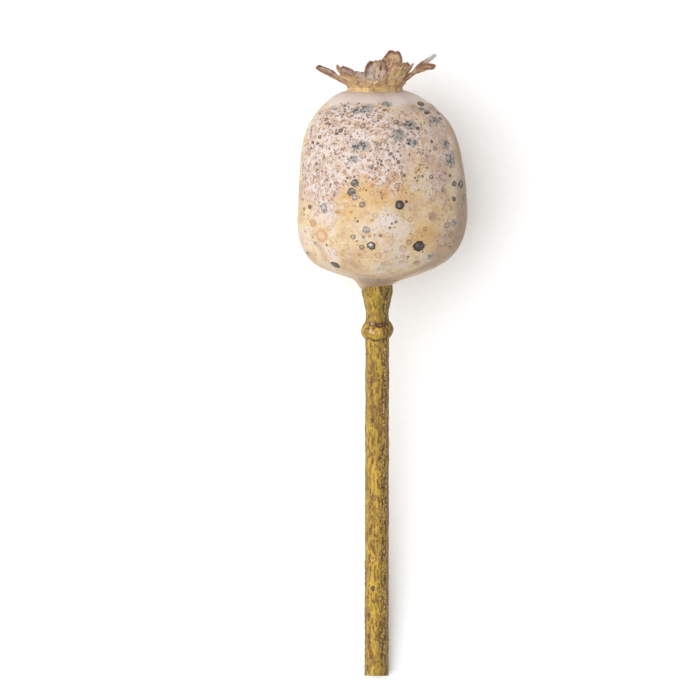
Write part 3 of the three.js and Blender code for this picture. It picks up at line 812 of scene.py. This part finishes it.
def lobe_places(lobe, u, v):
    """Points of a lobe's middle surface, for arrays of u from root to tip and v from edge to edge"""
    azimuth, length, root_rise, tip_rise, width, curl, twist = lobe
    number = azimuth / 10
    at = np.stack([u * 1.4, v * 1.5, np.full(u.shape, number)], axis=-1)
    torn = lumps(np.stack([np.zeros(u.shape), v * 1.1, np.full(u.shape, number)], axis=-1), 1, 2, 41)
    u = u * (0.985 + 0.05 * torn * smoothstep(u, 0.4, 1.0))
    steps = 14
    out = np.full(u.shape, LOBE_ROOT)
    up = np.full(u.shape, LOBE_ROOT_HEIGHT)
    for i in range(steps):
        rise = np.radians(root_rise + (tip_rise - root_rise) * u * (i + 0.5) / steps)
        out = out + np.cos(rise) * length * u / steps
        up = up + np.sin(rise) * length * u / steps
    rise = np.radians(root_rise + (tip_rise - root_rise) * u)
    shoulder = 0.82 + 0.26 * np.sin(math.pi * np.minimum(u * 1.1, 1)) + 0.07 * lumps(at, 1, 2, 42)
    round_end = np.sqrt(1 - 0.8 * np.clip((u - 0.72) / 0.28, 0, 1) ** 2)
    side = v * width / 2 * shoulder * round_end * (1 - 0.12 * np.abs(v) ** 6)
    lift = curl * v * v * shoulder * round_end * smoothstep(u, 0.15, 0.6)
    lift += 0.35 * curl * smoothstep(np.abs(v), 0.75, 1.0) * smoothstep(u, 0.3, 0.7)
    ribs = np.cos(v * 6 + 1.5 * lumps(at, 1, 2, 43))
    lift += 0.06 * ribs * smoothstep(u, 0.05, 0.4) * smoothstep(u, 0.95, 0.6)
    lift += 0.35 * lumps(at * 1.3, 1, 2, 44) * smoothstep(u, 0.1, 0.5)
    turn = np.radians(twist) * u
    across = side * np.cos(turn) - lift * np.sin(turn)
    normal = side * np.sin(turn) + lift * np.cos(turn)
    radial = out - normal * np.sin(rise)
    height = up + normal * np.cos(rise)
    a = math.radians(azimuth)
    x = radial * math.cos(a) + across * math.sin(a)
    z = -radial * math.sin(a) + across * math.cos(a)
    return np.stack([x + CROWN_SHIFT, height + CROWN_BASE, z], axis=-1)


def make_lobe(lobe):
    start_afresh()
    bpy.ops.mesh.primitive_grid_add(x_subdivisions=LOBE_GRID[0], y_subdivisions=LOBE_GRID[1], size=2)
    piece = bpy.context.object
    flat = places(piece)
    put(piece, lobe_places(lobe, (flat[:, 0] + 1) / 2, flat[:, 1]))
    finish_with(piece, "SOLIDIFY", thickness=LOBE_THICKNESS, offset=0)
    return piece


def make_disc():
    foot = CROWN_BASE
    rim = CROWN_BASE + CROWN_RIM_HEIGHT
    outline = (
        (foot - 1.2, 2.0),
        (foot - 1.2, CROWN_BASE_RADIUS + 0.6),
        (foot - 0.6, CROWN_BASE_RADIUS + 0.5),
        (foot, CROWN_BASE_RADIUS + 0.1),
        (foot + 0.5, CROWN_BASE_RADIUS + 0.4),
        (rim, CROWN_RIM_RADIUS),
        (rim + 0.4, CROWN_RIM_RADIUS - 0.3),
        (rim + 0.2, CROWN_RIM_RADIUS - 1.8),
        (rim + 0.1, CROWN_RIM_RADIUS - 3.4),
        (rim + 0.4, 2.4),
        (rim + 0.8, 0.6),
    )
    disc = drawn_up("crown_disc", [(height, girth, CROWN_SHIFT) for height, girth in outline], DISC_SIDES)
    finish_with(disc, "SUBSURF", levels=2, render_levels=2)
    points = places(disc)
    ray = stigma_ray(points)
    girth = np.hypot(points[:, 0] - CROWN_SHIFT, points[:, 2])
    top = smoothstep(points[:, 1], rim - 0.1, rim + 0.2)
    points[:, 1] += 0.35 * ray * top * smoothstep(girth, 0.5, 2.4)
    put(disc, points)
    return disc


def stigma_ray(points):
    """How near each point is to one of the rays that run out over the disc to the lobes"""
    round_at = np.degrees(np.arctan2(-points[:, 2], points[:, 0] - CROWN_SHIFT))
    ray = np.zeros(len(points))
    for lobe in LOBES:
        miss = np.abs((round_at - lobe[0] + 180) % 360 - 180)
        ray = np.maximum(ray, np.exp(-((miss / 8) ** 2)))
    return ray


def make_crown():
    lobes = [make_lobe(lobe) for lobe in LOBES + WEBS]
    crown = make_disc()
    join_to(crown, lobes)
    crown.name = "crown_lobes"
    finish_with(crown, "REMESH", mode="VOXEL", voxel_size=REMESH_CELL)
    finish_with(crown, "SMOOTH", factor=0.5, iterations=2)
    points = places(crown)
    outward = facings(crown)
    tell_crown(crown, points, outward)
    wrinkle = 0.05 * lumps(points * np.array([1.0, 0.45, 1.0]), 0.9, 3, 7)
    put(crown, points + outward * wrinkle[:, None])
    lay_down(crown, "crown")
    crown.data.materials.append(crown_husk())


def tell_crown(crown, points, outward):
    """Keeps for each point how far along its lobe it is, how near an edge, and the lobe's own colouring"""
    u, v = np.meshgrid(np.linspace(0, 1, 61), np.linspace(-1, 1, 31))
    u, v = u.ravel(), v.ravel()
    rows = []
    for lobe in LOBES + WEBS:
        here = lobe_places(lobe, u, v)
        along = lobe_places(lobe, np.minimum(u + 0.02, 1), v) - lobe_places(lobe, np.maximum(u - 0.02, 0), v)
        across = lobe_places(lobe, u, v + 0.02) - lobe_places(lobe, u, v - 0.02)
        up = np.cross(across, along)
        up /= np.linalg.norm(up, axis=1)[:, None]
        up *= np.sign(up[:, 1].mean())
        rough = np.stack([u * 2.2, v * 2.8, np.full(u.shape, lobe[0])], axis=-1)
        streak = lumps(rough, 1, 3, 45)
        cloud = lumps(np.stack([u * 3, v * 2.2, np.full(u.shape, lobe[0])], axis=-1), 1, 2, 46)
        looks = np.tile(np.array(LOBE_LOOKS[lobe[0]]), (len(u), 1))
        rows.append(np.column_stack([here, up, u, np.abs(v), streak, cloud, looks]))
    rows = np.concatenate(rows)
    tree = tree_of(rows[:, :3])
    found = [tree.find(p)[1:] for p in points]
    near = rows[[f[0] for f in found]]
    along, aside, streak, cloud, pale, brown, gold, clear_tip = near[:, 6:].T
    fade = 1 - smoothstep(np.array([f[1] for f in found]), 0.35, 1.1)
    girth = np.hypot(points[:, 0] - CROWN_SHIFT, points[:, 2])
    values = {
        "along": along * fade,
        "edge": np.maximum(aside**3, smoothstep(along, 0.82, 1.0)) * fade,
        "inner": 0.5 + 0.5 * np.sum(outward * near[:, 3:6], axis=1),
        "streak": streak,
        "cloud": cloud,
        "pale": pale * fade,
        "brown": brown * fade,
        "gold": gold,
        "clear_tip": clear_tip * smoothstep(along, 0.66, 0.85),
        "ray": stigma_ray(points) * smoothstep(girth, 8.5, 6.5) * smoothstep(outward[:, 1], 0.2, 0.6),
    }
    for name, value in values.items():
        note(crown, name, value)


# Materials

class Paint:
    """A material's node tree, and the few kinds of step that the materials are made of"""

    def __init__(self, name):
        self.material = bpy.data.materials.new(name)
        self.material.use_nodes = True
        self.tree = self.material.node_tree
        self.tree.nodes.clear()
        self.place = self.add("ShaderNodeTexCoord").outputs["Object"]

    def add(self, kind, inputs=None, **settings):
        """Adds a node with its settings, and sets or links its inputs"""
        made = self.tree.nodes.new(kind)
        for key, value in settings.items():
            setattr(made, key, value)
        for key, value in (inputs or {}).items():
            if isinstance(value, bpy.types.NodeSocket):
                self.tree.links.new(value, made.inputs[key])
            else:
                made.inputs[key].default_value = value
        return made

    def value(self, name):
        return self.add("ShaderNodeAttribute", attribute_name=name).outputs["Fac"]

    def noise(self, size, detail=3.0, roughness=0.5, place=None, output="Fac"):
        """Noise with lumps of about the given size in millimetres"""
        inputs = {"Vector": place or self.place, "Scale": 0.5 / (size * MM)}
        inputs.update({"Detail": detail, "Roughness": roughness})
        return self.add("ShaderNodeTexNoise", inputs).outputs[output]

    def share(self, source, low, high, top=1.0):
        inputs = {"Value": source, "From Min": low, "From Max": high, "To Max": top}
        return self.add("ShaderNodeMapRange", inputs, interpolation_type="SMOOTHSTEP").outputs["Result"]

    def maths(self, operation, *values):
        return self.add("ShaderNodeMath", dict(enumerate(values)), operation=operation).outputs[0]

    def times(self, first, *others):
        for other in others:
            first = self.maths("MULTIPLY", first, other)
        return first

    def mix(self, factor, below, above):
        inputs = {0: factor, 6: below, 7: above}
        for key in (6, 7):
            if isinstance(inputs[key], str):
                inputs[key] = tone(inputs[key])
        return self.add("ShaderNodeMix", inputs, data_type="RGBA").outputs[2]

    def over(self, colour, *layers):
        """Lays colours one by one over a first one, each as strongly as its share says"""
        for strength, above in layers:
            colour = self.mix(strength, colour, above)
        return colour

    def steps(self, source, stops):
        """A colour ramp with its colours at the given places"""
        node = self.add("ShaderNodeValToRGB", {"Fac": source})
        ramp = node.color_ramp
        while len(ramp.elements) < len(stops):
            ramp.elements.new(0.5)
        for element, (position, code) in zip(ramp.elements, stops):
            element.position = position
            element.color = tone(code)
        return node.outputs["Color"]

    def vector(self, operation, *values, output=0):
        return self.add("ShaderNodeVectorMath", dict(enumerate(values)), operation=operation).outputs[output]

    def marks(self, colour, flecks, wear):
        """Paints each face's mark over a colour, with a painted highlight set off its middle as strong as
        the kind asks, and returns the colour and the height of the mark's dome
        """
        spot = self.add("ShaderNodeUVMap", uv_map="mark").outputs["UV"]
        ink = self.add("ShaderNodeAttribute", attribute_name="mark_ink")
        fill = self.add("ShaderNodeAttribute", attribute_name="mark_fill")
        extra = self.add("ShaderNodeAttribute", attribute_name="mark_extra")
        wander = extra.outputs["Alpha"]
        extra = self.add("ShaderNodeSeparateColor", {0: extra.outputs["Color"]}).outputs
        soft = self.share(wander, 0.9, 1.0)
        shift = self.vector("ADD", self.noise(0.4, 3.0, 0.6, output="Color"), (-0.5, -0.5, -0.5))
        shift = self.vector("MULTIPLY", shift, (1, 1, 0))
        scale = {0: shift, "Scale": self.maths("MULTIPLY_ADD", soft, -0.9, self.times(wander, 1.6))}
        shift = self.add("ShaderNodeVectorMath", scale, operation="SCALE").outputs[0]
        spot = self.vector("ADD", spot, shift)
        away = self.vector("LENGTH", spot, output="Value")
        disc = self.share(away, 1.06, self.maths("MULTIPLY_ADD", soft, -0.4, 0.82))
        from_painted_highlight = self.vector("DISTANCE", spot, (-0.16, 0.16, 0), output="Value")
        colour = self.over(
            colour,
            (self.times(disc, fill.outputs["Alpha"], self.share(wear, 0.2, 0.45)), fill.outputs["Color"]),
            (self.times(disc, extra["Green"], self.share(flecks, 0.44, 0.38), 0.55), "#b3aca6"),
            (self.times(disc, extra["Green"], self.share(flecks, 0.51, 0.57), 0.9), "#3a3635"),
            (self.times(disc, self.share(away, 0.5, 0.85), ink.outputs["Alpha"]), ink.outputs["Color"]),
            # Painted highlight: a pale spot set off the middle of each mark
            (self.times(self.share(from_painted_highlight, 0.48, 0.22), extra["Red"]), "#e4dad3"),
        )
        lift = self.maths("SUBTRACT", extra["Blue"], 0.5)
        return colour, self.times(self.share(away, 1.0, 0.1), lift)

    def finish(self, colour, roughness, bumps):
        """The surface itself: its colour, how rough it is, and its bumps as pairs of height and distance"""
        normal = None
        for height, distance in bumps:
            inputs = {"Height": height, "Distance": distance * MM, "Strength": 1.0}
            if normal:
                inputs["Normal"] = normal
            normal = self.add("ShaderNodeBump", inputs).outputs[0]
        inputs = {"Base Color": colour, "Roughness": roughness, "Normal": normal}
        surface = self.add("ShaderNodeBsdfPrincipled", inputs)
        self.add("ShaderNodeOutputMaterial", {"Surface": surface.outputs[0]})
        return self.material


def pod_skin():
    """Dried capsule wall under a waxy bloom: matt, mottled, with a raised net and ringed blemishes"""
    paint = Paint("waxy_capsule_skin")
    share, mix, times = paint.share, paint.mix, paint.times
    strand, netting = paint.value("strand"), paint.value("netting")
    clouds = paint.noise(4.5, 4.0, 0.55)
    mottle = paint.noise(1.2, 5.0, 0.6)
    blush = paint.noise(2.1, 4.0, 0.6)
    grit = paint.noise(0.2, 2.0)
    streaks = paint.noise(0.4, 3.0, 0.65)
    dots = paint.noise(0.28, 2.0, 0.5, paint.vector("ADD", paint.place, (0.31, 0.17, 0.05)))

    ground = ((0.34, "#d6b090"), (0.43, "#e5c598"), (0.5, "#efd6a8"), (0.57, "#ecd9c6"), (0.66, "#e2bd8c"))
    ochre, tan = paint.value("ochre"), paint.value("tan")
    colour = paint.over(
        paint.steps(clouds, ground),
        (times(share(ochre, 0.1, 0.95), 0.75), "#e6bb76"),
        (times(share(mottle, 0.45, 0.66), share(ochre, 0.2, 1.0), 0.6), "#d69d52"),
        (times(share(paint.value("rose"), 0.05, 0.9), share(blush, 0.3, 0.6), 0.85), "#c5a491"),
        # Tan stains: partly the skin's own tan, partly painted shade along the right edge and the bottom
        (times(share(tan, 0.05, 1.0), 0.75), "#ab8a70"),
        (times(share(paint.value("bloom"), 0.1, 0.8), share(mottle, 0.36, 0.56), 0.95), "#ece0dd"),
        (times(share(blush, 0.54, 0.7), share(mottle, 0.3, 0.6), 0.55), "#eadcd6"),
        (share(mottle, 0.56, 0.8, 0.35), "#b9855f"),
        (share(grit, 0.55, 0.75, 0.2), "#b0866b"),
        (times(share(streaks, 0.5, 0.62), share(blush, 0.42, 0.55), 0.35), "#bd8f66"),
        (times(share(streaks, 0.44, 0.36), share(clouds, 0.4, 0.55), 0.4), "#f0e3d8"),
        (times(share(dots, 0.58, 0.64), share(mottle, 0.44, 0.54), 0.45), "#8e6850"),
    )

    # A felted web over peach and brown meshes, thinning out at its borders, with dark flecks in it
    in_net = share(netting, 0.05, 0.75)
    bend = paint.vector("ADD", paint.noise(0.7, 4.0, 0.65, output="Color"), (-0.5, -0.5, -0.5))
    bend = paint.vector("MULTIPLY", bend, (0.0026, 0.0026, 0.0026))
    bent = paint.vector("ADD", paint.place, bend)
    webs = []
    for size in (2.0, 1.2):
        cells = {"Vector": bent, "Scale": 1 / (size * MM)}
        edge = paint.add("ShaderNodeTexVoronoi", cells, feature="DISTANCE_TO_EDGE").outputs["Distance"]
        webs.append(times(share(edge, 0.26 / size, 0.04 / size), 0.4 * size))
    broad = times(share(strand, -0.28, -0.02), share(netting, 0.1, 0.6))
    white = paint.maths("MAXIMUM", times(paint.maths("MAXIMUM", *webs), in_net), broad)
    white = times(white, share(streaks, 0.72, 0.56), share(grit, 0.85, 0.6), 0.85)
    fleck_tone = mix(share(clouds, 0.45, 0.55), "#6d4937", "#605855")
    speck_tone = mix(share(blush, 0.45, 0.55), "#5d4133", "#8e5f42")
    colour = paint.over(
        colour,
        (times(in_net, share(mottle, 0.36, 0.52), 0.8), "#dba97b"),
        (times(in_net, share(streaks, 0.47, 0.58), 0.75), "#ad744e"),
        (times(in_net, share(blush, 0.5, 0.62), share(streaks, 0.3, 0.5), 0.5), "#e3d0c8"),
        (times(share(streaks, 0.55, 0.6), in_net, share(mottle, 0.43, 0.52), 0.95), fleck_tone),
        (times(share(dots, 0.6, 0.66), in_net, share(blush, 0.45, 0.55), 0.6), "#6e4c3b"),
        (white, "#efe0da"),
        (times(share(dots, 0.4, 0.34), in_net, share(mottle, 0.4, 0.5), 0.8), speck_tone),
        (times(paint.value("dome"), 0.85), "#ecdcd5"),
        # Painted shade: a further darkening where the tan stains lie, on the right edge and the bottom
        (share(tan, 0.3, 1.2, 0.35), "#977c66"),
    )

    colour, dome = paint.marks(colour, streaks, mottle)
    roughness = paint.add("ShaderNodeMapRange", {"Value": mottle, "To Min": 0.5, "To Max": 0.75}).outputs[0]
    bumps = ((mottle, 0.1), (grit, 0.04), (white, 0.1), (dome, 0.3))
    return paint.finish(colour, roughness, bumps)


def crown_husk():
    """Dried stigma lobes: papery and wrinkled, brown along torn edges, translucent and pale where thin"""
    paint = Paint("papery_lobe_husk")
    share, mix, times = paint.share, paint.mix, paint.times
    along, edge, inner = paint.value("along"), paint.value("edge"), paint.value("inner")
    streak, cloud = paint.value("streak"), paint.value("cloud")
    mottle = paint.noise(0.6, 4.0, 0.6)
    grit = paint.noise(0.18, 2.0)

    brown = paint.value("brown")
    gold = times(share(paint.value("gold"), 0.0, 1.0), share(cloud, -0.6, 0.2), share(along, 1.0, 0.5))
    pale = times(paint.value("pale"), share(inner, 0.3, 0.7), share(cloud, -0.4, 0.2))
    blotches = times(share(cloud, 0.0, 0.35), brown, share(along, 0.2, 0.6))
    colour = paint.over(
        mix(share(streak, -0.4, 0.4), "#c4966c", "#ebc79b"),
        (times(gold, 0.85), "#f8d592"),
        (times(pale, 0.95), "#efe0da"),
        (times(brown, share(edge, 0.3, 0.75), share(mottle, 0.2, 0.5), 0.9), "#7d513a"),
        (times(share(streak, 0.2, 0.4), brown, share(mottle, 0.4, 0.55), 0.7), "#87583f"),
        (times(blotches, share(mottle, 0.35, 0.55), 0.75), "#9a6440"),
        (times(share(streak, -0.25, -0.45), share(mottle, 0.42, 0.6), 0.6), "#9a6d52"),
        (times(share(streak, 0.42, 0.6), share(mottle, 0.5, 0.4), 0.7), "#f3e0ba"),
        (share(mottle, 0.56, 0.68, 0.5), "#8d6048"),
        (share(mottle, 0.4, 0.32, 0.4), "#f0e2d4"),
        (times(paint.value("clear_tip"), 0.9), "#e2e1dd"),
        (times(paint.value("ray"), 0.7), "#6b4b3a"),
        (share(grit, 0.56, 0.7, 0.35), "#6b4a38"),
    )
    return paint.finish(colour, 0.62, ((mottle, 0.12), (grit, 0.05)))


def stalk_bark():
    """Dried stalk: ridged straw-coloured bark with rows of pimples, brown between them and on one side, with
    painted shade along its right flank and in a thin strip at its left edge
    """
    paint = Paint("dried_pimpled_bark")
    share, mix, times = paint.share, paint.mix, paint.times
    turned = {"Vector": paint.place, "Rotation": (LAY_TILT, 0, 0), "Scale": (1, 3.2, 1)}
    drawn_out = paint.add("ShaderNodeMapping", turned, vector_type="TEXTURE").outputs[0]
    fibre = paint.noise(0.3, 3.0, 0.6, drawn_out)
    stroke = paint.noise(0.55, 2.0, 0.5, paint.vector("ADD", drawn_out, (0.31, 0.17, 0.05)))
    patch = paint.noise(1.3, 3.0, 0.6, drawn_out)
    grit = paint.noise(0.18, 2.0)
    mottle = paint.noise(0.7, 4.0)
    wrinkles = paint.noise(0.22, 3.0, 0.6, drawn_out)
    rough_side, neck = paint.value("rough_side"), paint.value("neck")
    below_neck = paint.maths("SUBTRACT", 1.0, times(neck, 0.75))

    colour = paint.over(
        mix(share(patch, 0.36, 0.6), "#d7af36", "#b7922d"),
        (share(fibre, 0.5, 0.58, 0.75), "#8e6921"),
        (share(fibre, 0.44, 0.34, 0.6), "#e2be4e"),
        (times(share(stroke, 0.57, 0.63), below_neck, 0.75), "#7d5320"),
        (times(share(rough_side, 0.2, 0.9), 0.55), "#8e6829"),
        (times(share(fibre, 0.46, 0.56), share(rough_side, 0.25, 0.8), 0.85), "#553a1c"),
        (times(share(patch, 0.62, 0.7), below_neck, 0.5), "#7c5222"),
        (times(neck, share(mottle, 0.4, 0.6), 0.6), "#a8942c"),
        (times(neck, share(wrinkles, 0.5, 0.57), 0.5), "#7a5a24"),
    )
    colour, dome = paint.marks(colour, grit, mottle)
    # Painted shade over the right flank and a thin strip at the left edge, broken up by grit
    colour = mix(times(paint.value("painted_shade_sides"), share(grit, 0.25, 0.6), 0.75), colour, "#5a4a2a")
    roughness = paint.add("ShaderNodeMapRange", {"Value": fibre, "To Min": 0.55, "To Max": 0.8}).outputs[0]
    return paint.finish(colour, roughness, ((fibre, 0.2), (stroke, 0.15), (grit, 0.06), (dome, 1.5)))


def pale_surface():
    """Matt white paper"""
    paint = Paint("matt_white_paper")
    grain = paint.noise(1.0, 3.0)
    colour = paint.mix(paint.share(grain, 0.3, 0.7), (0.95, 0.95, 0.95, 1), (0.97, 0.97, 0.97, 1))
    return paint.finish(colour, 0.9, ((grain, 0.02),))


# Stage

# The photograph's geometry: millimetres to a pixel at the pod's middle and pixels across, the distance
# that its perspective suits, and the place that its middle looks at, from the stalk's axis and cut end
PIXEL = 0.26087
PHOTO_WIDTH = 700
VIEW_DISTANCE = 630
POD_MIDDLE_ABOVE = 22.5
VIEW_LEFT_OF_AXIS = 7.17
VIEW_FROM_CUT_END = 87.6
SENSOR = 36
# Lights: place and size in metres, and power in watts; all face a place just above the surface
LIGHTS = {
    "key": ((-0.54, -0.02, 0.78), 1.2, 10.2),
    "fill": ((0.6, -0.2, 0.8), 0.9, 0.5),
    "top": ((-0.1, 0.6, 0.6), 0.7, 0.9),
}
LIT_PLACE = Vector((0, 0, 0.02))
SKY_STRENGTH = 0.65
PAPER_SIZE = 6


def set_camera():
    bpy.ops.object.camera_add(
        location=(
            (-REST_ACROSS - VIEW_LEFT_OF_AXIS) * MM,
            (VIEW_FROM_CUT_END - REST_ALONG) * MM,
            (VIEW_DISTANCE + POD_MIDDLE_ABOVE) * MM,
        ),
        rotation=(0, 0, 0),
    )
    camera = bpy.context.object
    camera.data.sensor_width = SENSOR
    camera.data.lens = SENSOR * VIEW_DISTANCE / (PIXEL * PHOTO_WIDTH)
    camera.data.clip_start = 0.01
    bpy.context.scene.camera = camera


def set_lights():
    for name, (place, size, power) in LIGHTS.items():
        bpy.ops.object.light_add(type="AREA", location=place)
        lamp = bpy.context.object
        lamp.name = name
        lamp.data.size = size
        lamp.data.energy = power
        lamp.rotation_euler = (LIT_PLACE - Vector(place)).to_track_quat("-Z", "Y").to_euler()
    world = bpy.context.scene.world or bpy.data.worlds.new("world")
    bpy.context.scene.world = world
    world.use_nodes = True
    sky = world.node_tree.nodes["Background"].inputs
    sky["Color"].default_value = (1, 1, 1, 1)
    sky["Strength"].default_value = SKY_STRENGTH
    bpy.context.scene.view_settings.view_transform = "Standard"


def lay_surface():
    start_afresh()
    bpy.ops.mesh.primitive_plane_add(size=PAPER_SIZE)
    surface = bpy.context.object
    surface.name = "pale_surface"
    surface.data.materials.append(pale_surface())


set_camera()
set_lights()
lay_surface()
make_stalk()
make_pod()
make_crown()
